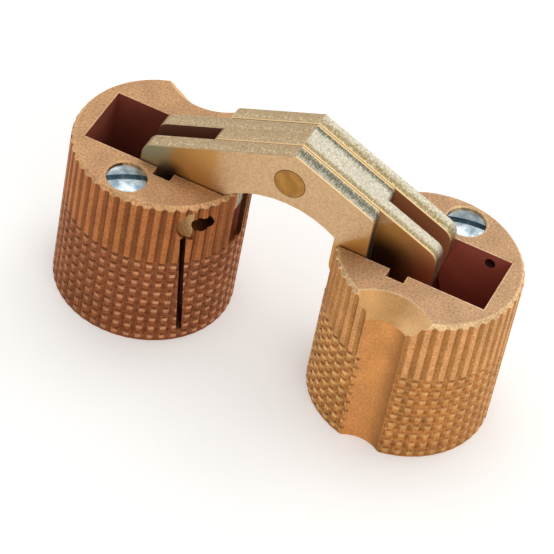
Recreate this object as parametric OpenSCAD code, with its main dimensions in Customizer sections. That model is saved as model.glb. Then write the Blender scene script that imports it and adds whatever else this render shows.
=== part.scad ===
// Concealed cylinder hinge: two ribbed barrels joined by a crossed stack of link plates.
// Drawn fully open, standing on its barrels. +X runs from the left barrel to the right one,
// -Y is the front and +Z is up. All sizes are in millimetres.
// The hinge repeats itself after a half turn about Z, so the right half is the left half turned.

/* [Barrels] */
// Outer diameter over the ribs
barrel_d = 24; // [23:0.5:28]
// Height of each barrel
barrel_h = 24; // [23:0.1:30]
// Distance between the two barrel axes when the hinge is open
axis_spacing = 37; // [35:0.2:41]
// Width of the bevel round the top rim
rim_bevel = 0.4; // [0.2:0.05:0.6]
// Height of the bevel round the top rim
rim_h = 0.65; // [0.2:0.05:1]
// Bevel round the bottom rim
foot_bevel = 0.1; // [0.05:0.05:0.4]

/* [Ribs] */
// Number of upright ribs round a barrel
rib_count = 48; // [32:2:60]
// Depth of the valleys between ribs
rib_depth = 0.35; // [0.2:0.05:0.5]
// Width of the flat crest of a rib
rib_crest = 0.6; // [0.3:0.05:1.1]
// Depth of the first ring groove below the top rim
ring_start = 10; // [8:0.1:14]
// Distance between ring grooves
ring_pitch = 1.59; // [1.2:0.01:2.4]
// Width of a ring groove
ring_w = 0.45; // [0.3:0.05:0.9]
// Depth of a ring groove below the crests
ring_depth = 0.28; // [0.1:0.02:0.5]

/* [Pivots] */
// Height of the centre rivet above the barrel tops
rivet_rise = 6.35; // [5.5:0.05:7]
// Diameter of the centre rivet
rivet_d = 4.1; // [3:0.1:5]
// Distance of the fixed pivot pin from its barrel's axis
pivot_inset = 9.2; // [8.6:0.1:9.6]
// Depth of the fixed pivot pin below the barrel top
pivot_drop = 3.45; // [3:0.05:4]
// Diameter of the fixed pivot pin
pivot_pin_d = 2.2; // [1.6:0.1:2.4]
// How far the hole of the fixed pivot pin reaches into the rear pocket wall
pivot_seat = 0.6; // [0.4:0.1:0.9]
// Diameter of the spot face round the pivot hole
spot_d = 4.8; // [3.6:0.1:5.4]
// How far the spot face stands out from the barrel's round side at the pin
spot_rise = 0.4; // [0.1:0.1:1.2]
// Distance of the guide slot from its barrel's axis
slider_inset = 2.35; // [2:0.05:2.8]
// Depth of the slider pin below the barrel top when open
slider_drop = 6.8; // [6:0.1:7.4]
// Diameter of the slider pin
slider_pin_d = 2.1; // [1.6:0.1:2.2]
// Turn of the rivet joint for each degree at the pivot pins
fold_ratio = -0.4; // [-0.42:0.01:-0.36]

/* [Links] */
// Thickness of a link plate
link_t = 2.26; // [1.8:0.02:2.4]
// Gap between neighbouring link plates
link_gap = 0.06; // [0.04:0.01:0.15]
// Height of the apex above the barrel tops
apex_rise = 11; // [10:0.1:11.2]
// Slope of the two top edges
top_slope = 23.3; // [22:0.1:26]
// Distance of the long arm's end from the slider pin
long_end = 3.7; // [3.2:0.1:3.8]
// Radius of the long arm's top corner
long_corner_r = 1.9; // [1:0.1:2.2]
// Radius of the long arm round the slider pin
long_boss_r = 2.75; // [2:0.05:2.9]
// Depth where the long arm starts to narrow towards its pin
long_waist_drop = 0.8; // [0.4:0.1:1.5]
// Radius of the short arm round the pivot pin
short_boss_r = 2.25; // [2:0.05:2.6]
// Radius of the short arm's top corner
short_corner_r = 0.9; // [0.4:0.1:1.6]
// Radius of the arch under the links
arch_r = 12.7; // [12.2:0.1:13]
// Height of the arch's crown above the barrel tops
arch_rise = 3; // [2.4:0.1:3.4]
// Depth where the arch ends on the long arm
arch_leg_drop = 4.5; // [3.5:0.1:5]

/* [Pocket] */
// Gap between the link stack and each pocket wall
pocket_side_gap = 0.15; // [0.1:0.01:0.3]
// Gap between the swinging links and the pocket's end wall
pocket_end_gap = 0.22; // [0.15:0.01:0.4]
// Gap between the closed links and the pocket's floor
pocket_floor_gap = 0.5; // [0.2:0.05:0.8]
// Gap between the arch of the open links and the barrel's inner wall
arch_gap = 0.1; // [0.05:0.01:0.3]
// Depth of the slots for the short arms in the inner wall
arm_slot_depth = 9.7; // [9:0.1:12]
// Gap between a short arm and the front side of its slot
arm_slot_gap = 0.7; // [0.15:0.05:0.9]
// Diameter of the pit in the pocket wall
pit_d = 1.3; // [0.8:0.1:1.8]
// Depth of the pit into the pocket wall
pit_depth = 1.2; // [0.6:0.1:1.6]
// Distance of the pit from the barrel's axis, towards the outer end
pit_x = 6.4; // [5.5:0.1:7]
// Depth of the pit below the barrel top
pit_drop = 1.6; // [1.2:0.1:3]

/* [Guide slots] */
// Width of the straight slot at the top of a guide
entry_w = 2.4; // [2.2:0.05:2.8]
// Depth of the straight slot into the pocket wall
entry_depth = 1.45; // [1:0.05:1.6]
// Depth of the curved track into the pocket wall
track_depth = 0.8; // [0.6:0.05:0.9]
// Gap round the slider pin in its track
track_gap = 0.25; // [0.1:0.01:0.4]

/* [Screws] */
// Wall between the guide track and the clamp screw
clamp_wall = 0.24; // [0.2:0.02:0.6]
// Wall between the clamp screw and the rib valleys
clamp_rim = 0.65; // [0.5:0.05:1]
// Length of the clamp screw
clamp_l = 10; // [6:0.5:16]
// Distance of the clamp screw from the barrel's axis, towards the outer end
clamp_x = 1.3; // [0.8:0.1:3]
// Depth of the clamp screw's crown below the barrel top
clamp_recess = 0.05; // [0:0.05:0.5]
// Rise of the clamp screw's domed head
clamp_dome = 0.3; // [0.1:0.05:0.8]
// Bevel at the mouth of the clamp screw's bore
bore_bevel = 0.15; // [0.05:0.05:0.3]
// Room below the clamp screw in its bore
bore_room = 0.5; // [0.2:0.1:2]
// Width of the screwdriver slot
driver_w = 0.9; // [0.6:0.1:1.2]
// Depth of the screwdriver slot
driver_depth = 1.3; // [0.8:0.1:2]
// Direction of the left screw's slot, from +X
left_driver_angle = 32; // [0:1:180]
// Direction of the right screw's slot, from +X
right_driver_angle = 13; // [0:1:180]
// Diameter of the channel for the fixing screw
channel_d = 8.9; // [6:0.1:9.2]
// Distance of the channel's centre outside the barrel's round side
channel_out = 3.2; // [2.8:0.1:3.8]
// Distance of the channel from the barrel's axis, towards the hinge's middle
channel_x = 0.5; // [0:0.1:1]
// Diameter of the countersink at the channel's top
sink_d = 13.8; // [11:0.1:14.2]
// Depth of the countersink
sink_h = 2.8; // [2:0.1:4]

/* [Clamping slit] */
// Width of the slit
slit_w = 0.65; // [0.4:0.05:1]
// Angle round the barrel's side of the slit's top, from +X towards the front
slit_angle = 50.2; // [49.4:0.2:52]
// Direction of the slit through the wall, from +X towards the front
slit_aim = 70; // [62:1:75]
// Depth of the slit's top below the barrel top
slit_top = 5.4; // [5:0.1:7]
// Height of the closed foot below the slit
slit_foot = 1.4; // [1:0.1:4]
// Lean of the slit from upright
slit_lean = 5.1; // [2:0.1:6]

/* [Fits] */
// Radial gap of a link that turns on a pin
running_gap = 0.05; // [0.02:0.01:0.1]
// Radial gap of a pin or screw that sits fast
seat_gap = 0.01; // [0.005:0.005:0.02]
// Gap at each end of a pivot pin
pivot_end_gap = 0.05; // [0.02:0.01:0.1]
// Gap at each end of a slider pin
slider_end_gap = 0.15; // [0.05:0.01:0.3]

/* [Hidden] */
round_fn = 64;
arc_step = 9;
dome_step = 3;
track_steps = 24;
cut = 1;
eps = 0.05;

brass = "#b8793f";
link_brass = "#c9a468";
rivet_brass = "#a98447";
zinc = "#b9c4cc";
steel = "#8f8d88";

barrel_r = barrel_d / 2;
valley_r = barrel_r - rib_depth;
half = axis_spacing / 2;
stack_w = 4 * link_t + 3 * link_gap;
pocket_w = stack_w + 2 * pocket_side_gap;
wall_y = pocket_w / 2;
ring_r = barrel_r - ring_depth;
ring_n = floor((barrel_h - foot_bevel - ring_w - ring_start) / ring_pitch) + 1;

// The clamp screw fills the wall between the guide track and the ribs
clamp_d = valley_r - clamp_rim - wall_y - track_depth - clamp_wall;
clamp_y = wall_y + track_depth + clamp_wall + clamp_d / 2;
spot_y = sqrt(pow(barrel_r, 2) - pow(pivot_inset, 2)) + spot_rise;
channel_y = barrel_r + channel_out;

// Middle of link plate n, counted from the front of the stack
function plate_y(n) = (n - 1.5) * (link_t + link_gap);
short_arm_plates = [1, 3];

// Side view of the open hinge: x along the hinge, y up from the barrel tops
rivet_c = [0, rivet_rise];
left_pivot_c = [pivot_inset - half, -pivot_drop];
right_pivot_c = [half - pivot_inset, -pivot_drop];
slider_c = [slider_inset - half, -slider_drop];
arch_c = [0, arch_rise - arch_r];
long_x = slider_c[0] - long_end;
short_x = right_pivot_c[0] + short_boss_r;
apex = [0, apex_rise];
long_corner = [long_x, apex_rise - abs(long_x) * tan(top_slope)];
short_corner = [short_x, apex_rise - short_x * tan(top_slope)];
waist = [long_x, -long_waist_drop];

// Turns of the three joints from open to closed add up to a half turn
closed_turn = 180 / (2 + fold_ratio);

function unit(v) = v / norm(v);
function turn(v, a) = [v[0] * cos(a) - v[1] * sin(a), v[0] * sin(a) + v[1] * cos(a)];
function heading(v) = atan2(v[1], v[0]);
function on_circle(c, r, a) = [c[0] + r * cos(a), c[1] + r * sin(a)];

function arc(c, r, a0, a1, step = arc_step) =
    let (n = ceil(abs(a1 - a0) / step))
    [for (i = [0:n]) on_circle(c, r, a0 + (a1 - a0) * i / n)];

// Angle on a circle where the line from point q touches it, on side +1 or -1
function touch(q, c, r, side) = heading(q - c) + side * acos(r / norm(q - c));

// Centre of the arc that rounds the corner p1
function corner_c(p0, p1, p2, r) =
    let (a = unit(p0 - p1), b = unit(p2 - p1), h = acos(a * b) / 2)
    p1 + unit(a + b) * r / sin(h);

// Arc that rounds the corner p1 on the way from p0 to p2
function corner(p0, p1, p2, r) =
    let (c = corner_c(p0, p1, p2, r),
         a = unit(p0 - p1), b = unit(p2 - p1), t = r / tan(acos(a * b) / 2),
         s = heading(p1 + a * t - c), e = heading(p1 + b * t - c),
         sweep = (e - s + 540) % 360 - 180)
    arc(c, r, s, s + sweep);

// Outline of a link with its long arm on the left
arch_a0 = 180 - asin((-arch_leg_drop - arch_c[1]) / arch_r);
arch_a1 = acos((right_pivot_c[0] - short_boss_r) / arch_r);
arch_foot = on_circle(arch_c, arch_r, arch_a0);
link_outline = concat(
    arc(right_pivot_c, short_boss_r, 180, 360),
    corner([short_x, -pivot_drop], short_corner, apex, short_corner_r),
    [apex],
    corner(apex, long_corner, waist, long_corner_r),
    [waist],
    arc(slider_c, long_boss_r, touch(waist, slider_c, long_boss_r, 1),
        360 + touch(arch_foot, slider_c, long_boss_r, -1)),
    arc(arch_c, arch_r, arch_a0, arch_a1));

// Place of a point of the left links when the left pivot has turned by t
function folded(p, t) =
    left_pivot_c + turn(rivet_c - left_pivot_c, t) + turn(p - rivet_c, t * (1 + fold_ratio));

fold_turns = [for (i = [0:track_steps]) closed_turn * i / track_steps];

// The pocket is as long and as deep as the folding links need
long_corner_c = corner_c(apex, long_corner, waist, long_corner_r);
pocket_end = max([for (t = fold_turns) long_corner_r - folded(long_corner_c, t)[0] - half])
    + pocket_end_gap;
pocket_depth = max([for (t = fold_turns) -folded(slider_c, t)[1]]) + long_boss_r
    + pocket_floor_gap;

// Its inner wall stands just clear of the open arch at the barrel tops
inner_wall_x = half - sqrt(pow(arch_r, 2) - pow(arch_c[1], 2)) + arch_gap;

// Track of the slider pin: its path through the fold, widened by the pin and its gap
track_r = slider_pin_d / 2 + track_gap;
function track_heading(t) = heading(folded(slider_c, t + eps) - folded(slider_c, t - eps));
track_in = track_heading(0);
track_out = track_heading(closed_turn);
track_outline = concat(
    [for (t = fold_turns) on_circle(folded(slider_c, t), track_r, track_heading(t) + 90)],
    arc(folded(slider_c, closed_turn), track_r, track_out + 90, track_out - 90),
    [for (i = [track_steps:-1:0])
        let (t = fold_turns[i])
        on_circle(folded(slider_c, t), track_r, track_heading(t) - 90)],
    arc(slider_c, track_r, track_in - 90, track_in - 270));

rib_angle = 360 / rib_count;
crest_angle = 2 * asin(rib_crest / barrel_d);
rib_outline = [for (i = [0:rib_count - 1])
    each [on_circle([0, 0], barrel_r, i * rib_angle - crest_angle / 2),
          on_circle([0, 0], barrel_r, i * rib_angle + crest_angle / 2),
          on_circle([0, 0], valley_r, (i + 0.5) * rib_angle)]];

// Extrudes a side-view shape w wide, centred on the middle plane
module across(w) {
    rotate([90, 0, 0]) linear_extrude(w, center = true) children();
}

// Round bar along Y from y0 to y1
module bar(r, y0, y1) {
    translate([0, y1, 0]) rotate([90, 0, 0]) cylinder(r = r, h = y1 - y0, $fn = round_fn);
}

// Places a barrel's own axes, with its top at z = 0, on the left or the right of the hinge
module at_left() {
    translate([-half, 0, barrel_h]) children();
}
module at_right() {
    rotate([0, 0, 180]) at_left() children();
}

// Places the side view at the barrel tops
module at_top() {
    translate([0, 0, barrel_h]) children();
}

// Ribbed bar with a bevelled top rim and foot; the bevels run on past the crests
module ribbed_blank() {
    wide_r = barrel_r + rim_bevel;
    foot_r = barrel_r + foot_bevel;
    intersection() {
        translate([0, 0, -barrel_h]) linear_extrude(barrel_h) polygon(rib_outline);
        rotate_extrude($fn = round_fn) polygon([
            [0, 0], [barrel_r - rim_bevel, 0], [wide_r, -2 * rim_h],
            [foot_r, 2 * foot_bevel - barrel_h], [barrel_r - foot_bevel, -barrel_h], [0, -barrel_h]]);
    }
}

module ring_grooves() {
    rotate_extrude($fn = round_fn)
        for (i = [0:ring_n - 1])
            translate([ring_r, -ring_start - i * ring_pitch - ring_w / 2])
                square([ring_depth + cut, ring_w]);
}

// Slot through the inner wall for the short arm of link plate n
module arm_slot(n) {
    front_y = plate_y(n) - link_t / 2 - arm_slot_gap;
    rear_y = plate_y(n) + link_t / 2 + pocket_side_gap;
    translate([0, front_y, -arm_slot_depth])
        cube([barrel_r + cut, rear_y - front_y, arm_slot_depth + cut]);
}

module pocket() {
    translate([-pocket_end, -wall_y, -pocket_depth])
        cube([2 * pocket_end, pocket_w, pocket_depth + cut]);
    translate([0, -wall_y, -arm_slot_depth])
        cube([inner_wall_x, pocket_w, arm_slot_depth + cut]);
    for (n = short_arm_plates) arm_slot(n);
    translate([-pit_x, 0, -pit_drop]) bar(pit_d / 2, -wall_y - pit_depth, 0);
}

module guide_slots() {
    across(pocket_w + 2 * track_depth) translate([half, 0]) polygon(track_outline);
    across(pocket_w + 2 * entry_depth)
        translate([slider_inset - entry_w / 2, -slider_drop])
            square([entry_w, slider_drop + cut]);
}

// Blind hole for the pivot pin, drilled from the clamp screw's side, with its spot face
module pivot_hole() {
    translate([pivot_inset, 0, -pivot_drop]) {
        bar(pivot_pin_d / 2 + seat_gap, -barrel_r - cut, wall_y + pivot_seat);
        bar(spot_d / 2, -barrel_r - cut, -spot_y);
    }
}

// Leaning saw cut from the barrel's side into the pocket
module clamping_slit() {
    slit_l = (barrel_h - slit_top - slit_foot) / cos(slit_lean);
    mouth = on_circle([0, 0], barrel_r, -slit_angle);
    reach = (-mouth[1] - wall_y + eps) / sin(slit_aim);
    translate([mouth[0], mouth[1], -slit_top]) rotate([slit_lean, 0, -slit_aim])
        translate([-reach, -slit_w / 2, -slit_l])
            cube([reach + cut, slit_w, slit_l]);
}

// Channel and countersink for the fixing screw beside the barrel
module screw_channel() {
    channel_r = channel_d / 2;
    flare = (sink_d / 2 - channel_r) / sink_h;
    translate([channel_x, channel_y, 0]) {
        translate([0, 0, -barrel_h - cut])
            cylinder(r = channel_r, h = barrel_h + 2 * cut, $fn = round_fn);
        translate([0, 0, -sink_h])
            cylinder(r1 = channel_r, r2 = channel_r + flare * (sink_h + cut), h = sink_h + cut,
                     $fn = round_fn);
    }
}

// Bore of the clamp screw with a bevelled mouth
module clamp_bore() {
    bore_r = clamp_d / 2 + seat_gap;
    bore_h = clamp_recess + clamp_l + bore_room;
    translate([-clamp_x, -clamp_y, 0]) rotate_extrude($fn = round_fn) polygon([
        [0, cut], [bore_r + bore_bevel, cut], [bore_r + bore_bevel, 0], [bore_r, -bore_bevel],
        [bore_r, -bore_h], [0, -bore_h]]);
}

module barrel() {
    difference() {
        ribbed_blank();
        ring_grooves();
        pocket();
        guide_slots();
        pivot_hole();
        clamping_slit();
        screw_channel();
        clamp_bore();
    }
}

// Slotted screw with a domed head and a pointed end
module clamp_screw(driver_angle) {
    r = clamp_d / 2;
    point_r = r / 2;
    dome_r = (pow(r, 2) + pow(clamp_dome, 2)) / (2 * clamp_dome);
    translate([-clamp_x, -clamp_y, -clamp_recess]) difference() {
        rotate_extrude($fn = round_fn) polygon(concat(
            arc([0, -dome_r], dome_r, 90, 90 - asin(r / dome_r), dome_step),
            [[r, point_r - clamp_l], [point_r, -clamp_l], [0, -clamp_l]]));
        rotate([0, 0, driver_angle])
            translate([-r - cut, -driver_w / 2, -driver_depth])
                cube([clamp_d + 2 * cut, driver_w, driver_depth + cut]);
    }
}

module pivot_pin() {
    reach = wall_y + pivot_seat - pivot_end_gap;
    translate([pivot_inset, 0, -pivot_drop]) bar(pivot_pin_d / 2, -reach, reach);
}

module slider_pin() {
    reach = wall_y + track_depth - slider_end_gap;
    translate([slider_inset, 0, -slider_drop]) bar(slider_pin_d / 2, -reach, reach);
}

// One link plate in place n of the stack
module link(n, rivet_gap) {
    at_top() translate([0, plate_y(n), 0]) across(link_t) difference() {
        polygon(link_outline);
        translate(rivet_c) circle(rivet_d / 2 + rivet_gap, $fn = round_fn);
        translate(right_pivot_c) circle(pivot_pin_d / 2 + running_gap, $fn = round_fn);
        translate(slider_c) circle(slider_pin_d / 2 + seat_gap, $fn = round_fn);
    }
}

module left_barrel() {
    color(brass) at_left() barrel();
}
module right_barrel() {
    color(brass) at_right() barrel();
}
module left_clamp_screw() {
    color(zinc) at_left() clamp_screw(left_driver_angle);
}
module right_clamp_screw() {
    color(zinc) at_right() clamp_screw(right_driver_angle);
}
module left_pivot_pin() {
    color(steel) at_left() pivot_pin();
}
module right_pivot_pin() {
    color(steel) at_right() pivot_pin();
}
module left_slider_pin() {
    color(steel) at_left() slider_pin();
}
module right_slider_pin() {
    color(steel) at_right() slider_pin();
}
module left_link_front() {
    color(link_brass) link(0, running_gap);
}
module left_link_rear() {
    color(link_brass) link(2, running_gap);
}
module right_link_front() {
    color(link_brass) rotate([0, 0, 180]) link(2, seat_gap);
}
module right_link_rear() {
    color(link_brass) rotate([0, 0, 180]) link(0, seat_gap);
}
module centre_rivet() {
    color(rivet_brass) at_top() translate([0, 0, rivet_rise])
        bar(rivet_d / 2, -stack_w / 2, stack_w / 2);
}

left_barrel();
right_barrel();
left_clamp_screw();
right_clamp_screw();
left_pivot_pin();
right_pivot_pin();
left_slider_pin();
right_slider_pin();
left_link_front();
left_link_rear();
right_link_front();
right_link_rear();
centre_rivet();
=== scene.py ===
import math
import bmesh
import bpy
from mathutils import Matrix, Vector


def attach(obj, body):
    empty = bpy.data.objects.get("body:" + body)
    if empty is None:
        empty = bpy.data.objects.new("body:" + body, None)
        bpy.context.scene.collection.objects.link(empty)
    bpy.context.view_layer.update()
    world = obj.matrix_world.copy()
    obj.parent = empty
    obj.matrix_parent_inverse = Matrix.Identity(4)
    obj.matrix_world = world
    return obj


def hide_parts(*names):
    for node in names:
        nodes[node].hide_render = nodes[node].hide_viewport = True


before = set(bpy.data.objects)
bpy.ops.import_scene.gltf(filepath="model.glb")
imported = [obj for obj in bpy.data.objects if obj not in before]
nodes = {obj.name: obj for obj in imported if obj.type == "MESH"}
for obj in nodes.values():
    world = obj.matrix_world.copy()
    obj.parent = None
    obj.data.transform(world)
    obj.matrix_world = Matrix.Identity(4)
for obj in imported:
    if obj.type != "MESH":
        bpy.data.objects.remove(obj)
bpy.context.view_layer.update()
scene = bpy.context.scene
scene.view_settings.view_transform = "Standard"
mm = 0.001
mergeWithin = 0.0005 * mm    # corners nearer than this are one


# sRGB hex to linear
def linear(colour):
    parts = [int(colour[i:i + 2], 16) / 255 for i in (1, 3, 5)]
    return [c / 12.92 if c <= 0.04045 else ((c + 0.055) / 1.055) ** 2.4 for c in parts] + [1.0]


# adds a node: sockets takes input names or numbers, each with a value or the output to link
def add(tree, kind, sockets=None, **settings):
    node = tree.nodes.new(kind)
    for key, value in settings.items():
        setattr(node, key, value)
    for key, value in (sockets or {}).items():
        if isinstance(value, bpy.types.NodeSocket):
            tree.links.new(value, node.inputs[key])
        else:
            node.inputs[key].default_value = value
    return node


def newMaterial(name):
    material = bpy.data.materials.new(name)
    material.use_nodes = True
    tree = material.node_tree
    tree.nodes.clear()
    return material, tree


# the place on the object in millimetres, so that patterns take real sizes
def inMillimetres(tree, shift=(0, 0, 0), turn=0.0):
    coords = add(tree, "ShaderNodeTexCoord")
    return add(tree, "ShaderNodeMapping", {
        "Vector": coords.outputs["Object"], "Location": shift, "Rotation": (0, 0, turn),
        "Scale": (1 / mm, 1 / mm, 1 / mm)}).outputs[0]


def dress(obj, material):
    obj.data.materials.clear()
    obj.data.materials.append(material)


# a merged copy of a CAD node's mesh to work on
def mergedCopy(name):
    work = bmesh.new()
    work.from_mesh(nodes[name].data)
    bmesh.ops.remove_doubles(work, verts=work.verts, dist=mergeWithin)
    return work


# the worked copy becomes a piece that stands for its node
def standFor(work, name, ending, body, material):
    mesh = bpy.data.meshes.new(name + ending)
    work.to_mesh(mesh)
    work.free()
    piece = bpy.data.objects.new(name + ending, mesh)
    scene.collection.objects.link(piece)
    dress(piece, material)
    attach(piece, body)
    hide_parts(name)


# camera: the photograph's angle, fitted to the rims and pockets of both barrels
camera = {
    "azimuth": 16.64,        # degrees
    "elevation": 44.65,
    "roll": 11.92,
    "distance": 0.41426,     # m
    "target": (0.000429, -0.003103, 0.012864),
    "focalPixels": 3263,
    "framePixels": 554,
    "sensor": 36.0,          # mm
    "clip": (0.01, 20.0),    # m
}
azimuth, elevation, roll = (math.radians(camera[k]) for k in ("azimuth", "elevation", "roll"))
back = Vector((math.sin(azimuth) * math.cos(elevation), -math.cos(azimuth) * math.cos(elevation),
               math.sin(elevation)))
right = Vector((math.cos(azimuth), math.sin(azimuth), 0))
up = back.cross(right)
cameraRight = math.cos(roll) * right + math.sin(roll) * up
cameraUp = math.cos(roll) * up - math.sin(roll) * right
lens = bpy.data.cameras.new("photoCamera")
lens.sensor_width = camera["sensor"]
lens.lens = camera["sensor"] * camera["focalPixels"] / camera["framePixels"]
lens.clip_start, lens.clip_end = camera["clip"]
photoCamera = bpy.data.objects.new("photoCamera", lens)
scene.collection.objects.link(photoCamera)
photoCamera.matrix_world = (Matrix.Translation(Vector(camera["target"]) + back * camera["distance"])
                            @ Matrix((cameraRight, cameraUp, back)).transposed().to_4x4())
scene.camera = photoCamera
print("camera: lens", round(lens.lens, 1), "mm")


# floor: one wide pale sheet under the hinge
floor = {"size": 6.0, "colour": "#f2f1ee", "lift": 0.22}
sheet = bmesh.new()
bmesh.ops.create_grid(sheet, x_segments=1, y_segments=1, size=floor["size"] / 2)
floorMesh = bpy.data.meshes.new("paleFloor")
sheet.to_mesh(floorMesh)
sheet.free()
paleFloor = bpy.data.objects.new("paleFloor", floorMesh)
scene.collection.objects.link(paleFloor)
# matt painted board: even white that keeps the shadow, lifted to full white for what looks at it
paint, tree = newMaterial("mattWhiteBoard")
matt = add(tree, "ShaderNodeBsdfDiffuse", {"Color": linear(floor["colour"])})
path = add(tree, "ShaderNodeLightPath")
looked = path.outputs["Is Camera Ray"]
for ray in ("Is Glossy Ray", "Is Transmission Ray"):
    looked = add(tree, "ShaderNodeMath", {0: looked, 1: path.outputs[ray]}, operation="MAXIMUM").outputs[0]
lift = add(tree, "ShaderNodeMath", {0: looked, 1: floor["lift"]}, operation="MULTIPLY")
glow = add(tree, "ShaderNodeEmission", {"Color": (1, 1, 1, 1), "Strength": lift.outputs[0]})
both = add(tree, "ShaderNodeAddShader", {0: matt.outputs[0], 1: glow.outputs[0]})
add(tree, "ShaderNodeOutputMaterial", {"Surface": both.outputs[0]})
dress(paleFloor, paint)


# lights: wide soft panels as in a small product studio; lengths in m
studio = {
    "room": 0.55,
    "aim": (0, 0, 0.015),
    "panels": {
        "backRight": {"at": (0.55, 0.85, 0.75), "size": (0.90, 0.90), "watts": 3.2},
        "backLeft": {"at": (-0.85, 0.85, 0.50), "size": (0.80, 0.60), "watts": 1.2},
        "overhead": {"at": (-0.15, 0.20, 1.10), "size": (0.90, 0.90), "watts": 3.8},
        "frontRight": {"at": (0.80, -0.70, 0.75), "size": (0.70, 0.70), "watts": 2.8},
    },
}
world = bpy.data.worlds.new("studioRoom")
scene.world = world
world.use_nodes = True
world.node_tree.nodes["Background"].inputs["Color"].default_value = (1, 1, 1, 1)
world.node_tree.nodes["Background"].inputs["Strength"].default_value = studio["room"]
for name, panel in studio["panels"].items():
    lamp = bpy.data.lights.new(name, "AREA")
    lamp.shape = "RECTANGLE"
    lamp.size, lamp.size_y = panel["size"]
    lamp.energy = panel["watts"]
    lampObject = bpy.data.objects.new(name, lamp)
    scene.collection.objects.link(lampObject)
    place = Vector(panel["at"])
    aim = Vector(studio["aim"]) - place
    lampObject.matrix_world = Matrix.Translation(place) @ aim.to_track_quat("-Z", "Y").to_matrix().to_4x4()
print("studio:", len(studio["panels"]), "soft panels")


# cast brass, blasted: sandy copper gold on top, ribs lighter and flutes darker as painted light and shade,
# and a maroon oxide in the pocket; lengths in mm from a barrel's own axis and rim
barrelLook = {
    "axisX": 18.5,                    # from the middle of the hinge to a barrel's axis
    "top": 24.0,                      # height of the rims
    "skin": 0.02,                     # how near the top or the bottom a face counts as theirs
    "crest": 12.0,                    # radius over the ribs
    "crestFade": (0.10, 0.015),       # below the crest: the lighter crest tone starts, and is full
    "foot": (11.65, 11.9, 0.05),      # radius of the flutes, of their run-out below, how far off the channel
    "smoothTurn": 16,                 # degrees, a sharper turn between two faces shows as an edge
    "rim": (0.62, 0.05),              # height of the rounded rim, half its fade
    "rings": (10.0, 1.59, 0.45),      # first ring groove below the rim, pitch, width
    "ringFade": (0.06, -0.02),        # past a groove's edge: its tone starts, and is full
    "shelfHighlight": (0.5, 0.8),              # facing up: where the painted highlight on the teeth's upper faces starts, and is full
    "dashHighlight": (0.54, 0.24),             # below a ring groove: middle and half width of a tooth's painted highlight band
    "litSide": (0.45, -4.0, 7.0),      # least share of that highlight, and from where to where along X it grows toward the light
    "channel": (0.5, 15.2, 0.0),      # axis of the screw channel
    "channelRadius": 4.5,
    "sink": (2.8, 6.95),              # depth and top radius of the countersink
    "overlap": 0.03,                  # how far a mask reaches past its face
    "coneFade": 0.1,
    "coneTurn": (0.05, 0.4),          # facing along X: where the countersink's painted highlight starts, and is full
    "shadeTurn": (0.1, 0.75),         # the same for the dark side of the channel
    "wearAndHighlight": 0.4,                      # how far from a corner of the top it is painted paler, as wear and as its highlight
    "wearTurn": (0.985, 0.9, 0.9),    # cosines where that paler tone starts and is full, and its amount
    "cutTurn": (0.45, 0.5),           # how little the wall of a cut looks outward, and up or down
    "pin": (9.2, 0.0, -3.45),         # axis of the pivot pin and its spot face
    "pinHole": 1.15,
    "spot": (2.45, -6.3, 0.38),       # radius of the spot face, how far out it lies, its depth under the crests
    "drilledY": -4.0,                 # the pin hole and the pit are on this side of it
    "pocketY": 6.3,                   # half the pocket's width with its guide slots
    "pocketRadius": 11.3,
    "pit": (-6.4, 0.0, -1.6, 0.72),   # middle and radius of the pit in the pocket's wall
    "bore": (-1.3, -8.4, 0.0),        # axis of the clamp screw's bore
    "boreRadius": 2.85,
    "grain": 0.3,                     # sand of the blasting, drawn coarser than it is so that it shows
    "grainDetail": (3.0, 0.65),
    "grainSpan": (0.3, 0.7),          # values of the noise from a dark speck to a light one
    "oxideSpan": (0.35, 0.65),
    "speckDark": (0.68, 0.60, 0.50, 1),        # what a speck does to the tone under it
    "speckLight": (1.32, 1.40, 1.50, 1),
    "smoothChannel": 0.35,            # share of the sand missing in the screw channel
    "smoothCone": 0.3,                # and how much more in its countersink
    "patch": 3.0,                     # slow change of tone
    "drift": (0.92, 1.08),
    "satin": (0.5, 0.66),             # roughness of dark and of light specks
    "soft": 0.12,                     # rounding of every edge in the shading
    "bump": (0.4, 0.08, 0.1),         # strength on the skin and in the pocket, and height
    "bevelSamples": 6,
}
# the left barrel's tones are darker than the right's as painted shade, the right's lighter as painted light:
# lit and shaded copies of one cast brass
barrelTones = {
    "left": {
        "valley": "#985f38", "crest": "#ba7846", "toothValley": "#955a3a", "tooth": "#a0623e",
        "ring": "#a0623a", "shelfHighlight": "#d8a47a", "dashHighlight": "#d49a70", "rim": "#dcab78", "top": "#c79d74",
        "cut": "#5c3c22", "channel": "#c08a52", "shade": "#8c5c34", "cone": "#cd9d68",
        "coneHighlight": "#eabd84", "spot": "#cba87a", "hole": "#74482a", "wearAndHighlight": "#e2bc92",
        "pocket": "#994d3a", "pocketDark": "#8a4433", "pit": "#3f1f1a",
    },
    "right": {
        "valley": "#bc884f", "crest": "#d9a26b", "toothValley": "#b87e45", "tooth": "#c98f52",
        "ring": "#cf9655", "shelfHighlight": "#efc898", "dashHighlight": "#e8be7e", "rim": "#ecc694", "top": "#c7a17b",
        "cut": "#7d5230", "channel": "#d79a5c", "shade": "#8e6234", "cone": "#d6a56c",
        "coneHighlight": "#ffd097", "spot": "#d4b07c", "hole": "#74482a", "wearAndHighlight": "#f2d6ac",
        "pocket": "#bb5f4a", "pocketDark": "#aa5441", "pit": "#4a2620",
    },
}
highlightSpread = {"left": 0.2, "right": 0.55}    # how far the painted highlight bands run on across the flutes


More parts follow.
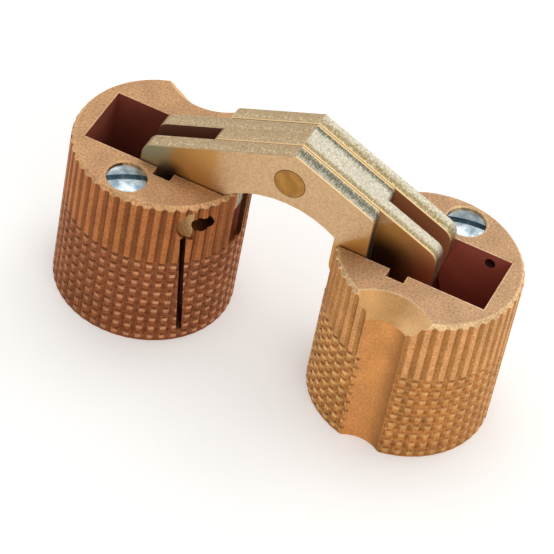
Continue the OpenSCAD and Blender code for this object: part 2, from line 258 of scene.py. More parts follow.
def castBrass(side):
    look = barrelLook
    tones = {key: linear(colour) for key, colour in barrelTones[side].items()}
    turned = 1 if side == "left" else -1
    material, tree = newMaterial("castBrassLitCopy_" + side)
    # the right barrel is the left one after a half turn
    p = inMillimetres(tree, (look["axisX"], 0, -look["top"]), 0 if turned == 1 else math.pi)
    at = add(tree, "ShaderNodeSeparateXYZ", {0: p}).outputs
    flat = add(tree, "ShaderNodeVectorMath", {0: p, 1: (1, 1, 0)}, operation="MULTIPLY").outputs[0]
    radius = add(tree, "ShaderNodeVectorMath", {0: flat}, operation="LENGTH").outputs["Value"]
    outward = add(tree, "ShaderNodeVectorMath", {0: flat}, operation="NORMALIZE").outputs[0]
    normal = add(tree, "ShaderNodeTexCoord").outputs["Normal"]
    normal = add(tree, "ShaderNodeVectorMath", {0: normal, 1: (turned, turned, 1)},
                 operation="MULTIPLY").outputs[0]
    facing = add(tree, "ShaderNodeSeparateXYZ", {0: normal}).outputs
    out = add(tree, "ShaderNodeVectorMath", {0: outward, 1: normal},
              operation="DOT_PRODUCT").outputs["Value"]
    out = add(tree, "ShaderNodeMath", {0: out}, operation="ABSOLUTE").outputs[0]
    acrossY = add(tree, "ShaderNodeMath", {0: at["Y"]}, operation="ABSOLUTE").outputs[0]

    detail, roughness = look["grainDetail"]
    grain = add(tree, "ShaderNodeTexNoise", {
        "Vector": p, "Scale": 1 / look["grain"], "Detail": detail, "Roughness": roughness}).outputs[0]
    patch = add(tree, "ShaderNodeTexNoise", {
        "Vector": p, "Scale": 1 / look["patch"], "Detail": 0.0}).outputs[0]

    # ribs and teeth: the flutes painted darker as their shade, the crests lighter as lit
    start, full = look["crestFade"]
    crest = add(tree, "ShaderNodeMapRange", {
        "Value": radius, "From Min": look["crest"] - start, "From Max": look["crest"] - full}).outputs[0]
    first, pitch, wide = look["rings"]
    toothed = add(tree, "ShaderNodeMath", {0: at["Z"], 1: wide / 2 - first},
                  operation="LESS_THAN").outputs[0]
    wave = add(tree, "ShaderNodeMath", {0: at["Z"], 1: first}, operation="ADD").outputs[0]
    wave = add(tree, "ShaderNodeMath", {0: wave, 1: pitch / 2}, operation="PINGPONG").outputs[0]
    # the ring grooves are painted about as light as the teeth, painted light against the shade in them
    start, full = look["ringFade"]
    ring = add(tree, "ShaderNodeMapRange", {
        "Value": wave, "From Min": wide / 2 + start, "From Max": wide / 2 + full}).outputs[0]
    ring = add(tree, "ShaderNodeMath", {0: ring, 1: toothed}, operation="MULTIPLY").outputs[0]
    # faces of the teeth that look up are painted bright as highlight
    start, full = look["shelfHighlight"]
    shelfHighlight = add(tree, "ShaderNodeMapRange", {
        "Value": facing["Z"], "From Min": start, "From Max": full}).outputs[0]
    shelfHighlight = add(tree, "ShaderNodeMath", {0: shelfHighlight, 1: toothed}, operation="MULTIPLY").outputs[0]
    # a painted highlight band under each ring groove, stronger toward +X where the light comes from
    belowRing = add(tree, "ShaderNodeMath", {0: at["Z"], 1: -1.0, 2: -first},
                    operation="MULTIPLY_ADD").outputs[0]
    belowRing = add(tree, "ShaderNodeMath", {0: belowRing, 1: pitch}, operation="MODULO").outputs[0]
    middle, half = look["dashHighlight"]
    dashHighlight = add(tree, "ShaderNodeMath", {0: belowRing, 1: middle, 2: half}, operation="COMPARE").outputs[0]
    onCrest = add(tree, "ShaderNodeMapRange", {"Value": crest, "To Min": highlightSpread[side]}).outputs[0]
    least, start, full = look["litSide"]
    litSide = add(tree, "ShaderNodeMapRange", {
        "Value": at["X"], "From Min": start, "From Max": full, "To Min": least}).outputs[0]
    for part in (toothed, onCrest, litSide):
        dashHighlight = add(tree, "ShaderNodeMath", {0: dashHighlight, 1: part}, operation="MULTIPLY").outputs[0]

    # rim, painted lighter as the highlight on its rounding, then top and bottom
    rimHeight, rimFade = look["rim"]
    rim = add(tree, "ShaderNodeMapRange", {
        "Value": at["Z"], "From Min": -rimHeight - rimFade, "From Max": -rimHeight + rimFade}).outputs[0]
    top = add(tree, "ShaderNodeMath", {0: at["Z"], 1: -look["skin"]}, operation="GREATER_THAN").outputs[0]
    base = add(tree, "ShaderNodeMath", {0: at["Z"], 1: look["skin"] - look["top"]},
               operation="LESS_THAN").outputs[0]
    ends = add(tree, "ShaderNodeMath", {0: top, 1: base}, operation="MAXIMUM").outputs[0]

    # screw channel with its countersink
    fromChannel = add(tree, "ShaderNodeVectorMath", {0: flat, 1: look["channel"]},
                      operation="DISTANCE").outputs["Value"]
    sinkDeep, sinkWide = look["sink"]
    flare = add(tree, "ShaderNodeMapRange", {
        "Value": at["Z"], "From Min": -sinkDeep, "From Max": 0.0,
        "To Min": look["channelRadius"] + look["overlap"], "To Max": sinkWide + look["overlap"]}).outputs[0]
    channel = add(tree, "ShaderNodeMath", {0: fromChannel, 1: flare}, operation="LESS_THAN").outputs[0]
    cone = add(tree, "ShaderNodeMapRange", {
        "Value": at["Z"], "From Min": -sinkDeep - look["coneFade"],
        "From Max": -sinkDeep + look["coneFade"]}).outputs[0]
    cone = add(tree, "ShaderNodeMath", {0: cone, 1: channel}, operation="MULTIPLY").outputs[0]
    # the countersink's faces toward +X are painted as highlight, the channel's faces toward +X as shade
    sides = []
    for key, where in (("coneTurn", cone), ("shadeTurn", channel)):
        start, full = look[key]
        turn = add(tree, "ShaderNodeMapRange", {"Value": facing["X"], "From Min": start, "From Max": full})
        sides.append(add(tree, "ShaderNodeMath", {0: turn.outputs[0], 1: where},
                         operation="MULTIPLY").outputs[0])
    coneHighlight, shade = sides

    # corners of the top, where a rounded normal leaves the true one, painted paler as wear and as their
    # highlight
    rounded = add(tree, "ShaderNodeBevel", {"Radius": look["wearAndHighlight"] * mm},
                  samples=look["bevelSamples"]).outputs[0]
    trueNormal = add(tree, "ShaderNodeNewGeometry").outputs["Normal"]
    wearAndHighlight = add(tree, "ShaderNodeVectorMath", {0: rounded, 1: trueNormal},
               operation="DOT_PRODUCT").outputs["Value"]
    start, full, amount = look["wearTurn"]
    wearAndHighlight = add(tree, "ShaderNodeMapRange", {
        "Value": wearAndHighlight, "From Min": start, "From Max": full, "To Max": amount}).outputs[0]
    high = add(tree, "ShaderNodeMath", {0: at["Z"], 1: -rimHeight - 2 * rimFade},
               operation="GREATER_THAN").outputs[0]
    wearAndHighlight = add(tree, "ShaderNodeMath", {0: wearAndHighlight, 1: high}, operation="MULTIPLY").outputs[0]

    # walls of the cuts through the skin, painted darker as the shade in them, then the spot face, and the hole
    # of the pivot pin painted dark as its shade
    outLimit, upLimit = look["cutTurn"]
    sideways = add(tree, "ShaderNodeMath", {0: out, 1: outLimit}, operation="LESS_THAN").outputs[0]
    upright = add(tree, "ShaderNodeMath", {0: facing["Z"], 1: 0.0, 2: upLimit},
                  operation="COMPARE").outputs[0]
    cut = add(tree, "ShaderNodeMath", {0: sideways, 1: upright}, operation="MULTIPLY").outputs[0]
    upend = add(tree, "ShaderNodeVectorMath", {0: p, 1: (1, 0, 1)}, operation="MULTIPLY").outputs[0]
    fromPin = add(tree, "ShaderNodeVectorMath", {0: upend, 1: look["pin"]},
                  operation="DISTANCE").outputs["Value"]
    spotRadius, spotOut, spotDeep = look["spot"]
    spot = add(tree, "ShaderNodeMath", {0: fromPin, 1: spotRadius}, operation="LESS_THAN").outputs[0]
    for value, limit in ((at["Y"], spotOut), (radius, look["crest"] - spotDeep)):
        part = add(tree, "ShaderNodeMath", {0: value, 1: limit}, operation="LESS_THAN")
        spot = add(tree, "ShaderNodeMath", {0: spot, 1: part.outputs[0]}, operation="MULTIPLY").outputs[0]
    drilled = add(tree, "ShaderNodeMath", {0: at["Y"], 1: look["drilledY"]},
                  operation="LESS_THAN").outputs[0]
    hole = add(tree, "ShaderNodeMath", {0: fromPin, 1: look["pinHole"]}, operation="LESS_THAN").outputs[0]
    hole = add(tree, "ShaderNodeMath", {0: hole, 1: drilled}, operation="MULTIPLY").outputs[0]

    # the pocket with its guides, clear of the clamp screw's bore, the pin's hole and the bottom
    fromBore = add(tree, "ShaderNodeVectorMath", {0: flat, 1: look["bore"]},
                   operation="DISTANCE").outputs["Value"]
    pocket = add(tree, "ShaderNodeMath", {0: fromBore, 1: look["boreRadius"]},
                 operation="GREATER_THAN").outputs[0]
    limits = ((acrossY, look["pocketY"]), (radius, look["pocketRadius"]), (at["Z"], -look["overlap"]))
    for value, limit in limits:
        part = add(tree, "ShaderNodeMath", {0: value, 1: limit}, operation="LESS_THAN")
        pocket = add(tree, "ShaderNodeMath", {0: pocket, 1: part.outputs[0]},
                     operation="MULTIPLY").outputs[0]
    for part in (base, hole):
        pocket = add(tree, "ShaderNodeMath", {0: pocket, 1: part},
                     operation="SUBTRACT", use_clamp=True).outputs[0]

    # tones laid one over the other
    ribs = add(tree, "ShaderNodeMix", {0: crest, 6: tones["valley"], 7: tones["crest"]},
               data_type="RGBA").outputs[2]
    teeth = add(tree, "ShaderNodeMix", {0: crest, 6: tones["toothValley"], 7: tones["tooth"]},
                data_type="RGBA").outputs[2]
    skin = add(tree, "ShaderNodeMix", {0: toothed, 6: ribs, 7: teeth}, data_type="RGBA").outputs[2]
    layers = (("ring", ring), ("dashHighlight", dashHighlight), ("shelfHighlight", shelfHighlight), ("rim", rim), ("cut", cut), ("spot", spot),
              ("hole", hole), ("channel", channel), ("shade", shade), ("cone", cone),
              ("coneHighlight", coneHighlight), ("top", ends), ("wearAndHighlight", wearAndHighlight))
    for tone, mask in layers:
        skin = add(tree, "ShaderNodeMix", {0: mask, 6: skin, 7: tones[tone]}, data_type="RGBA").outputs[2]

    # sand: paler and browner specks, fewer where the metal was drilled
    start, full = look["grainSpan"]
    speck = add(tree, "ShaderNodeMapRange", {
        "Value": grain, "From Min": start, "From Max": full}).outputs[0]
    speck = add(tree, "ShaderNodeMix", {0: speck, 6: look["speckDark"], 7: look["speckLight"]},
                data_type="RGBA").outputs[2]
    sandy = add(tree, "ShaderNodeVectorMath", {0: skin, 1: speck}, operation="MULTIPLY").outputs[0]
    smooth = add(tree, "ShaderNodeMath", {0: channel, 1: look["smoothChannel"]},
                 operation="MULTIPLY").outputs[0]
    smooth = add(tree, "ShaderNodeMath", {0: cone, 1: look["smoothCone"], 2: smooth},
                 operation="MULTIPLY_ADD").outputs[0]
    skin = add(tree, "ShaderNodeMix", {0: smooth, 6: sandy, 7: skin}, data_type="RGBA").outputs[2]

    # oxide of the pocket, with its pit painted dark as its shade, then a slow drift over all
    start, full = look["oxideSpan"]
    oxideAndShade = add(tree, "ShaderNodeMapRange", {
        "Value": grain, "From Min": start, "From Max": full}).outputs[0]
    oxideAndShade = add(tree, "ShaderNodeMix", {0: oxideAndShade, 6: tones["pocketDark"], 7: tones["pocket"]},
                data_type="RGBA").outputs[2]
    pit = add(tree, "ShaderNodeVectorMath", {0: upend, 1: look["pit"][:3]},
              operation="DISTANCE").outputs["Value"]
    pit = add(tree, "ShaderNodeMath", {0: pit, 1: look["pit"][3]}, operation="LESS_THAN").outputs[0]
    pit = add(tree, "ShaderNodeMath", {0: pit, 1: drilled}, operation="MULTIPLY").outputs[0]
    oxideAndShade = add(tree, "ShaderNodeMix", {0: pit, 6: oxideAndShade, 7: tones["pit"]}, data_type="RGBA").outputs[2]
    skin = add(tree, "ShaderNodeMix", {0: pocket, 6: skin, 7: oxideAndShade}, data_type="RGBA").outputs[2]
    start, full = look["grainSpan"]
    low, high = look["drift"]
    drift = add(tree, "ShaderNodeMapRange", {
        "Value": patch, "From Min": start, "From Max": full, "To Min": low, "To Max": high}).outputs[0]
    skin = add(tree, "ShaderNodeVectorMath", {0: skin, 1: drift}, operation="MULTIPLY").outputs[0]

    low, high = look["satin"]
    satin = add(tree, "ShaderNodeMapRange", {
        "Value": grain, "From Min": start, "From Max": full, "To Min": low, "To Max": high}).outputs[0]
    bare = add(tree, "ShaderNodeMapRange", {"Value": pocket, "To Min": 1.0, "To Max": 0.0}).outputs[0]
    soft = add(tree, "ShaderNodeBevel", {"Radius": look["soft"] * mm},
               samples=look["bevelSamples"]).outputs[0]
    skinBump, pocketBump, bumpHeight = look["bump"]
    rough = add(tree, "ShaderNodeMapRange", {
        "Value": pocket, "To Min": skinBump, "To Max": pocketBump}).outputs[0]
    bump = add(tree, "ShaderNodeBump", {
        "Strength": rough, "Distance": bumpHeight * mm, "Height": grain, "Normal": soft}).outputs[0]
    metal = add(tree, "ShaderNodeBsdfPrincipled", {
        "Base Color": skin, "Metallic": bare, "Roughness": satin, "Normal": bump})
    add(tree, "ShaderNodeOutputMaterial", {"Surface": metal.outputs[0]})
    return material


# a barrel whose flutes run out at the bottom edge, so that the edge is round as in the photograph
def footedBarrel(side):
    look = barrelLook
    turned = 1 if side == "left" else -1
    axis = Vector((-turned * look["axisX"], 0, 0)) * mm
    channel = Vector((turned * look["channel"][0], turned * look["channel"][1], 0)) * mm
    flute, edge, apart = look["foot"]
    clear = look["channelRadius"] + apart
    work = mergedCopy(side + "_barrel")
    for v in work.verts:
        out = v.co - axis
        onFlute = abs(out.xy.length - flute * mm) < look["skin"] / 2 * mm
        if onFlute and out.z < look["skin"] / 2 * mm and (out - channel).xy.length > clear * mm:
            v.co.xy = axis.xy + out.xy.normalized() * edge * mm
    for e in work.edges:
        e.smooth = e.calc_face_angle(0) < math.radians(look["smoothTurn"])
    return work


for side in ("left", "right"):
    standFor(footedBarrel(side), side + "_barrel", "_footed", side + "_half", castBrass(side))
print("barrels: cast brass")


# yellow passivated sheet brass: sandy pale gold faces, combed bright metal on the punched edges, heat stains on
# the long arms, the slopes facing +X painted paler as lit, with painted highlights and shade laid over it;
# lengths in mm
linkLook = {
    "plate": 2.32,           # a plate and its gap
    "bevel": (0.1, 2),       # width and segments
    "meet": 0.2,             # share of the gap kept between the two middle plates
    "middle": 0.1,           # how near the middle of the stack a face counts as meeting
    "flatTurn": 1,           # degrees, two faces that turn less are made one
    "sharpTurn": 50,         # degrees between two faces where a corner is eased
    "edgeTurn": (0.8, 0.5),  # how far a face looks to the front or back: none of it edge, all of it edge
    "grain": 0.3,            # sand of the faces, drawn coarser than it is so that it shows
    "grainDetail": (3.0, 0.65),
    "grainSpan": (0.3, 0.7),
    "faceSpan": (0.3, 0.62),
    "cloud": (0.35, 2.0),    # per mm and detail: slow noise that makes the stains' ends wander
    "wander": (1.2, -0.6),   # its width and start
    "comb": (0.13, 0.5),     # torn streaks: width along the edge, length across it, drawn coarser than they are
    "combDetail": (3.0, 0.7),
    # for each plate from the front: middle of the torn band, its half width, 1 where the painted corner
    # highlight is on the front corner, brightness of the bare metal
    "torn": ((1.40, 1.25, 0.0, 0.56), (0.60, 0.70, 1.0, 0.68),
             (1.80, 0.95, 0.0, 0.69), (0.75, 1.15, 1.0, 0.72)),
    "tornSpan": (0.26, 0.54, 0.76),   # how much the band adds, then from where to where a streak is torn
    "litSideTurn": (-0.2, 0.2),        # how far along X a slope faces before it is painted paler as lit
    "edgeSpeck": (0.72, 1.28),
    "glint": (0.34, 0.75, 1.0),       # bright nicks on the yellow slopes: size, middle of their band, detail
    "glintBand": (0.12, -0.05),       # what the band adds in its middle and 1 mm away
    "glintSpan": (0.62, 0.76, 0.8),   # from where to where a nick shows, and its amount
    "frontCorner": (0.32, 0.2),       # from a plate's front face: the painted corner highlight starts, and is full
    "rearCorner": (1.98, 2.1),
    "inner": (4.0, 9.0),     # from the front, between these the front faces are painted brown, partly oxide and partly their shade
    "oxideShadeTurn": (-2.0, 2.0),         # X over which that brown goes from its darker left to its right tone
    "tipEnd": (-15.2, -16.8, 0.9),    # X where the pale end of the long left arm starts and is full, amount
    "roseEnd": (14.5, 19.0, 0.8),     # the same where the long right arms turn rosy
    # where a stain ends: x and z of a point on its edge, the edge's lean, the side it lies on, its fade, amount
    "stainEnd": (-9.0, 26.0, 0.05, -1, 1.5, 0.85),
    "warmEnd": (7.6, 24.55, 1.09, 1, 0.9, 0.85),
    # painted dark spots, shade and the dark pocket's reflection on the plates behind, and a shadow by the notch
    # on the front plate:
    # x and z of the middle, how far it is full and where it ends, the plates from this one back, amount
    "shadeSpots": ((12.6, 22.4, 2.0, 5.0, 1, 0.85), (-15.2, 23.4, 0.8, 2.8, 0, 0.8)),
    "satin": (0.5, 0.4),     # roughness of faces and of edges
    "bump": (0.25, 0.6, 0.1),         # strength on faces and on edges, and height
}
linkTones = {
    "face": "#dcb88e", "faceDark": "#c69f74", "stain": "#cc9c57", "warm": "#c59248", "tip": "#b4b08e",
    "rose": "#dd9c6e", "spotShade": "#4a2c1a", "oxideAndShade": "#ab6c46", "oxideShadeLeft": "#6e4030", "edge": "#f0e7d0",
    "edgeGold": "#bca27d", "nick": "#ddcaa2", "combGrey": "#62624f", "combGold": "#94804c", "corner": "#ecca92",
}


def sheetBrass():
    look = linkLook
    tones = {key: linear(colour) for key, colour in linkTones.items()}
    plate = look["plate"]
    material, tree = newMaterial("punchedSheetBrass")
    p = inMillimetres(tree)
    at = add(tree, "ShaderNodeSeparateXYZ", {0: p}).outputs
    normal = add(tree, "ShaderNodeTexCoord").outputs["Normal"]
    facing = add(tree, "ShaderNodeSeparateXYZ", {0: normal}).outputs
    across = add(tree, "ShaderNodeMath", {0: facing["Y"]}, operation="ABSOLUTE").outputs[0]
    start, full = look["edgeTurn"]
    onEdge = add(tree, "ShaderNodeMapRange", {
        "Value": across, "From Min": start, "From Max": full}).outputs[0]
    # plate number as a share of the four, and distance from its front face
    stack = add(tree, "ShaderNodeMath", {0: at["Y"], 1: 2 * plate}, operation="ADD").outputs[0]
    inPlate = add(tree, "ShaderNodeMath", {0: stack, 1: plate}, operation="MODULO").outputs[0]
    number = add(tree, "ShaderNodeMath", {0: stack, 1: 4 * plate}, operation="DIVIDE").outputs[0]

    detail, roughness = look["grainDetail"]
    grain = add(tree, "ShaderNodeTexNoise", {
        "Vector": p, "Scale": 1 / look["grain"], "Detail": detail, "Roughness": roughness}).outputs[0]
    cloudScale, detail = look["cloud"]
    cloud = add(tree, "ShaderNodeTexNoise", {"Vector": p, "Scale": cloudScale, "Detail": detail}).outputs[0]
    start, full = look["faceSpan"]
    faceTone = add(tree, "ShaderNodeMapRange", {
        "Value": grain, "From Min": start, "From Max": full}).outputs[0]
    faceTone = add(tree, "ShaderNodeMix", {0: faceTone, 6: tones["faceDark"], 7: tones["face"]},
                   data_type="RGBA").outputs[2]

    # stains: each ends along a leaning line that wanders a little
    width, begin = look["wander"]
    wander = add(tree, "ShaderNodeMath", {0: cloud, 1: width, 2: begin},
                 operation="MULTIPLY_ADD").outputs[0]
    alongX = add(tree, "ShaderNodeMath", {0: at["X"], 1: wander}, operation="ADD").outputs[0]
    stains = []
    for key, tone in (("stainEnd", "stain"), ("warmEnd", "warm")):
        end, height, lean, way, fade, amount = look[key]
        line = add(tree, "ShaderNodeMath", {0: at["Z"], 1: -lean, 2: alongX},
                   operation="MULTIPLY_ADD").outputs[0]
        line = add(tree, "ShaderNodeMath", {0: line, 1: end - lean * height},
                   operation="SUBTRACT").outputs[0]
        stains.append((add(tree, "ShaderNodeMapRange", {
            "Value": line, "From Min": 0.0, "From Max": way * fade, "To Max": amount}).outputs[0], tone))
    for key, tone in (("tipEnd", "tip"), ("roseEnd", "rose")):
        start, full, amount = look[key]
        stains.append((add(tree, "ShaderNodeMapRange", {
            "Value": alongX, "From Min": start, "From Max": full, "To Max": amount}).outputs[0], tone))
    sheet = add(tree, "ShaderNodeVectorMath", {0: p, 1: (1, 0, 1)}, operation="MULTIPLY").outputs[0]
    # dark spots painted as shade and as a reflection of the dark pocket
    for spotX, spotZ, near, far, first, amount in look["shadeSpots"]:
        shadeSpots = add(tree, "ShaderNodeVectorMath", {0: sheet, 1: (spotX, 0, spotZ)},
                   operation="DISTANCE").outputs["Value"]
        shadeSpots = add(tree, "ShaderNodeMapRange", {
            "Value": shadeSpots, "From Min": far, "From Max": near, "To Max": amount}).outputs[0]
        behind = add(tree, "ShaderNodeMath", {0: stack, 1: first * plate},
                     operation="GREATER_THAN").outputs[0]
        shadeSpots = add(tree, "ShaderNodeMath", {0: shadeSpots, 1: behind}, operation="MULTIPLY").outputs[0]
        stains.append((shadeSpots, "spotShade"))
    for mask, tone in stains:
        faceTone = add(tree, "ShaderNodeMix", {0: mask, 6: faceTone, 7: tones[tone]},
                       data_type="RGBA").outputs[2]

    # front faces inside the stack are painted brown, partly oxide and partly their shade, darker toward the
    # left
    nearest, farthest = look["inner"]
    middle, half = (nearest + farthest) / 2, (farthest - nearest) / 2
    hidden = add(tree, "ShaderNodeMath", {0: stack, 1: middle, 2: half}, operation="COMPARE").outputs[0]
    frontward = add(tree, "ShaderNodeMath", {0: facing["Y"], 1: 0.0}, operation="LESS_THAN").outputs[0]
    hidden = add(tree, "ShaderNodeMath", {0: hidden, 1: frontward}, operation="MULTIPLY").outputs[0]
    start, full = look["oxideShadeTurn"]
    oxideAndShade = add(tree, "ShaderNodeMapRange", {
        "Value": at["X"], "From Min": start, "From Max": full}).outputs[0]
    oxideAndShade = add(tree, "ShaderNodeMix", {0: oxideAndShade, 6: tones["oxideShadeLeft"], 7: tones["oxideAndShade"]},
                data_type="RGBA").outputs[2]
    faceTone = add(tree, "ShaderNodeMix", {0: hidden, 6: faceTone, 7: oxideAndShade}, data_type="RGBA").outputs[2]

    # punched edge: bright where it was sheared, combed dark where it tore
    along, over = look["comb"]
    streaks = add(tree, "ShaderNodeVectorMath", {0: p, 1: (1 / along, 1 / over, 1 / along)},
                  operation="MULTIPLY").outputs[0]
    detail, roughness = look["combDetail"]
    comb = add(tree, "ShaderNodeTexNoise", {
        "Vector": streaks, "Scale": 1.0, "Detail": detail, "Roughness": roughness}).outputs[0]
    plates = add(tree, "ShaderNodeValToRGB", {0: number})
    ramp = plates.color_ramp
    ramp.interpolation = "CONSTANT"
    for i, (middle, half, brightCorner, bareTone) in enumerate(look["torn"]):
        stop = ramp.elements[i] if i < 2 else ramp.elements.new(i / 4)
        stop.position = i / 4
        stop.color = (middle / plate, half / plate, brightCorner, bareTone)
    bareTone = plates.outputs["Alpha"]
    bandMiddle, bandHalf, brightCorner = add(tree, "ShaderNodeSeparateColor", {
        0: plates.outputs[0]}).outputs
    band = add(tree, "ShaderNodeMath", {0: inPlate, 1: plate}, operation="DIVIDE").outputs[0]
    band = add(tree, "ShaderNodeMath", {0: band, 1: bandMiddle}, operation="SUBTRACT").outputs[0]
    band = add(tree, "ShaderNodeMath", {0: band}, operation="ABSOLUTE").outputs[0]
    bandMost, start, full = look["tornSpan"]
    band = add(tree, "ShaderNodeMapRange", {
        "Value": band, "From Min": bandHalf, "From Max": 0.0, "To Max": bandMost}).outputs[0]
    # the slopes that face +X are painted paler as lit, the others darker and more yellow as shaded
    left, right = look["litSideTurn"]
    litSide = add(tree, "ShaderNodeMapRange", {
        "Value": facing["X"], "From Min": left, "From Max": right}).outputs[0]
    torn = add(tree, "ShaderNodeMath", {0: band, 1: litSide, 2: comb}, operation="MULTIPLY_ADD").outputs[0]
    torn = add(tree, "ShaderNodeMapRange", {"Value": torn, "From Min": start, "From Max": full}).outputs[0]
    tornTone = add(tree, "ShaderNodeMix", {0: brightCorner, 6: tones["combGrey"], 7: tones["combGold"]},
                   data_type="RGBA").outputs[2]
    bright = add(tree, "ShaderNodeVectorMath", {0: tones["edge"][:3], 1: bareTone},
                 operation="MULTIPLY").outputs[0]
    edgeTone = add(tree, "ShaderNodeMix", {0: litSide, 6: tones["edgeGold"], 7: bright},
                   data_type="RGBA").outputs[2]
    start, full = look["grainSpan"]
    low, high = look["edgeSpeck"]
    speck = add(tree, "ShaderNodeMapRange", {
        "Value": grain, "From Min": start, "From Max": full, "To Min": low, "To Max": high}).outputs[0]
    edgeTone = add(tree, "ShaderNodeVectorMath", {0: edgeTone, 1: speck}, operation="MULTIPLY").outputs[0]

    # bright nicks in a row on the yellow slopes
    nickSize, nickMiddle, detail = look["glint"]
    nick = add(tree, "ShaderNodeTexNoise", {
        "Vector": p, "Scale": 1 / nickSize, "Detail": detail}).outputs[0]
    nickBand = add(tree, "ShaderNodeMath", {0: inPlate, 1: nickMiddle}, operation="SUBTRACT").outputs[0]
    nickBand = add(tree, "ShaderNodeMath", {0: nickBand}, operation="ABSOLUTE").outputs[0]
    near, far = look["glintBand"]
    nickBand = add(tree, "ShaderNodeMapRange", {
        "Value": nickBand, "To Min": near, "To Max": far}).outputs[0]
    nick = add(tree, "ShaderNodeMath", {0: nick, 1: nickBand}, operation="ADD").outputs[0]
    start, full, amount = look["glintSpan"]
    nick = add(tree, "ShaderNodeMapRange", {
        "Value": nick, "From Min": start, "From Max": full, "To Max": amount}).outputs[0]
    yellow = add(tree, "ShaderNodeMath", {0: 1.0, 1: litSide}, operation="SUBTRACT").outputs[0]
    nick = add(tree, "ShaderNodeMath", {0: nick, 1: yellow}, operation="MULTIPLY").outputs[0]

    # corners: painted highlight lines, on the front corner of two plates and on the rear corner of the others
    # on their lit slope, and on the front plate's lit front corner too
    start, full = look["frontCorner"]
    frontCorner = add(tree, "ShaderNodeMapRange", {
        "Value": inPlate, "From Min": start, "From Max": full}).outputs[0]
    start, full = look["rearCorner"]
    rearCorner = add(tree, "ShaderNodeMapRange", {
        "Value": inPlate, "From Min": start, "From Max": full}).outputs[0]
    rearCorner = add(tree, "ShaderNodeMath", {0: rearCorner, 1: litSide}, operation="MULTIPLY").outputs[0]
    corner = add(tree, "ShaderNodeMix", {0: brightCorner, 2: rearCorner, 3: frontCorner}).outputs[0]
    litFrontCorner = add(tree, "ShaderNodeMath", {0: number, 1: 1 / 4}, operation="LESS_THAN").outputs[0]
    for part in (litSide, frontCorner):
        litFrontCorner = add(tree, "ShaderNodeMath", {0: litFrontCorner, 1: part},
                           operation="MULTIPLY").outputs[0]
    corner = add(tree, "ShaderNodeMath", {0: corner, 1: litFrontCorner}, operation="MAXIMUM").outputs[0]
    for mask, tone in ((torn, tornTone), (nick, tones["nick"]), (corner, tones["corner"])):
        edgeTone = add(tree, "ShaderNodeMix", {0: mask, 6: edgeTone, 7: tone}, data_type="RGBA").outputs[2]

    skin = add(tree, "ShaderNodeMix", {0: onEdge, 6: faceTone, 7: edgeTone}, data_type="RGBA").outputs[2]
    onFace, atEdge = look["satin"]
    satin = add(tree, "ShaderNodeMapRange", {
        "Value": onEdge, "To Min": onFace, "To Max": atEdge}).outputs[0]
    relief = add(tree, "ShaderNodeMix", {0: onEdge, 2: grain, 3: comb}).outputs[0]
    onFace, atEdge, height = look["bump"]
    bite = add(tree, "ShaderNodeMapRange", {"Value": onEdge, "To Min": onFace, "To Max": atEdge}).outputs[0]
    bump = add(tree, "ShaderNodeBump", {
        "Strength": bite, "Distance": height * mm, "Height": relief}).outputs[0]
    inside = add(tree, "ShaderNodeMath", {0: 1.0, 1: onEdge}, operation="SUBTRACT").outputs[0]
    inside = add(tree, "ShaderNodeMath", {0: inside, 1: hidden}, operation="MULTIPLY").outputs[0]
    bare = add(tree, "ShaderNodeMath", {0: 1.0, 1: inside}, operation="SUBTRACT").outputs[0]
    metal = add(tree, "ShaderNodeBsdfPrincipled", {
        "Base Color": skin, "Metallic": bare, "Roughness": satin, "Normal": bump})
    add(tree, "ShaderNodeOutputMaterial", {"Surface": metal.outputs[0]})
    return material


# a plate with its corners eased
def easedPlate(name):
    look = linkLook
    width, segments = look["bevel"]
    middle = look["middle"] * mm
    work = mergedCopy(name)
    bmesh.ops.dissolve_limit(work, angle_limit=math.radians(look["flatTurn"]),
                             verts=work.verts, edges=work.edges)
    # the two middle plates meet sharp, with a gap too fine to see
    for v in work.verts:
        if abs(v.co.y) < middle:
            v.co.y *= look["meet"]
    sharp = [e for e in work.edges
             if len(e.link_faces) == 2 and e.calc_face_angle(0) > math.radians(look["sharpTurn"])
             and max(abs(v.co.y) for v in e.verts) > middle]
    bmesh.ops.bevel(work, geom=sharp, offset=width * mm, offset_type="OFFSET", affect="EDGES",
                    segments=segments, profile=0.5, material=-1, clamp_overlap=True)
    return work


linkBrass = sheetBrass()
for body in ("left_links", "right_links"):
    for place in ("front", "rear"):
        name = body[:-1] + "_" + place
        standFor(easedPlate(name), name, "_eased", body, linkBrass)
print("links: eased sheet brass")


# drawn brass rod: a smooth darker disc
rodLook = {
    "dark": "#9c7038",
    "light": "#b58545",
    "cloud": (1.5, 3.0),     # size in mm, detail
    "span": (0.35, 0.65),    # values of the cloud from dark to light
    "roughness": 0.42,
    "bump": (0.15, 0.05),    # strength, height in mm
}
rodBrass, tree = newMaterial("drawnBrassRod")
p = inMillimetres(tree)
size, detail = rodLook["cloud"]
cloud = add(tree, "ShaderNodeTexNoise", {"Vector": p, "Scale": 1 / size, "Detail": detail}).outputs[0]
start, full = rodLook["span"]
tone = add(tree, "ShaderNodeMapRange", {"Value": cloud, "From Min": start, "From Max": full}).outputs[0]
tone = add(tree, "ShaderNodeMix", {0: tone, 6: linear(rodLook["dark"]), 7: linear(rodLook["light"])},
           data_type="RGBA").outputs[2]
strength, height = rodLook["bump"]
bump = add(tree, "ShaderNodeBump", {
    "Strength": strength, "Distance": height * mm, "Height": cloud}).outputs[0]
metal = add(tree, "ShaderNodeBsdfPrincipled", {
    "Base Color": tone, "Metallic": 1.0, "Roughness": rodLook["roughness"], "Normal": bump})
add(tree, "ShaderNodeOutputMaterial", {"Surface": metal.outputs[0]})
dress(nodes["centre_rivet"], rodBrass)

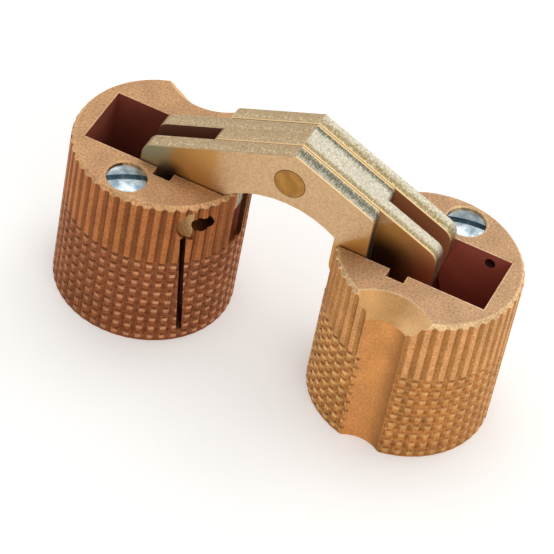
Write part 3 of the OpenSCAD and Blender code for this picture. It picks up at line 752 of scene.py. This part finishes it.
# bright zinc plate: cool white metal with a faint cloud in its tone and gloss
zincLook = {
    "dark": "#8599a4",
    "light": "#cfd9db",
    "cloud": (1.2, 3.0),     # size in mm, detail
    "span": (0.35, 0.65),    # values of the cloud from dark to light
    "gloss": (0.36, 0.24),   # roughness of the dark and of the light
    "bump": (0.12, 0.05),    # strength, height in mm
}
zinc, tree = newMaterial("brightZincPlate")
p = inMillimetres(tree)
size, detail = zincLook["cloud"]
cloud = add(tree, "ShaderNodeTexNoise", {"Vector": p, "Scale": 1 / size, "Detail": detail}).outputs[0]
start, full = zincLook["span"]
tone = add(tree, "ShaderNodeMapRange", {"Value": cloud, "From Min": start, "From Max": full}).outputs[0]
tone = add(tree, "ShaderNodeMix", {0: tone, 6: linear(zincLook["dark"]), 7: linear(zincLook["light"])},
           data_type="RGBA").outputs[2]
dull, keen = zincLook["gloss"]
gloss = add(tree, "ShaderNodeMapRange", {
    "Value": cloud, "From Min": start, "From Max": full, "To Min": dull, "To Max": keen}).outputs[0]
strength, height = zincLook["bump"]
bump = add(tree, "ShaderNodeBump", {
    "Strength": strength, "Distance": height * mm, "Height": cloud}).outputs[0]
metal = add(tree, "ShaderNodeBsdfPrincipled", {
    "Base Color": tone, "Metallic": 1.0, "Roughness": gloss, "Normal": bump})
add(tree, "ShaderNodeOutputMaterial", {"Surface": metal.outputs[0]})
for side in ("left", "right"):
    dress(nodes[side + "_clamp_screw"], zinc)

# ground steel pins, oiled: dark grey, faint rings round the axis, drawn coarser than they are
pinLook = {
    "dark": "#4b463f",
    "light": "#6a645b",
    "rings": (2.0, 1.5),     # scale per mm, waver
    "roughness": 0.34,
    "bump": (0.1, 0.02),     # strength, height in mm
}
steel, tree = newMaterial("groundSteel")
p = inMillimetres(tree)
scale, waver = pinLook["rings"]
rings = add(tree, "ShaderNodeTexWave", {"Vector": p, "Scale": scale, "Distortion": waver},
            bands_direction="Y").outputs[1]
tone = add(tree, "ShaderNodeMix", {0: rings, 6: linear(pinLook["dark"]), 7: linear(pinLook["light"])},
           data_type="RGBA").outputs[2]
strength, height = pinLook["bump"]
bump = add(tree, "ShaderNodeBump", {
    "Strength": strength, "Distance": height * mm, "Height": rings}).outputs[0]
metal = add(tree, "ShaderNodeBsdfPrincipled", {
    "Base Color": tone, "Metallic": 1.0, "Roughness": pinLook["roughness"], "Normal": bump})
add(tree, "ShaderNodeOutputMaterial", {"Surface": metal.outputs[0]})
for name in ("left_pivot_pin", "right_pivot_pin", "left_slider_pin", "right_slider_pin"):
    dress(nodes[name], steel)
print("rivet, screws and pins dressed")
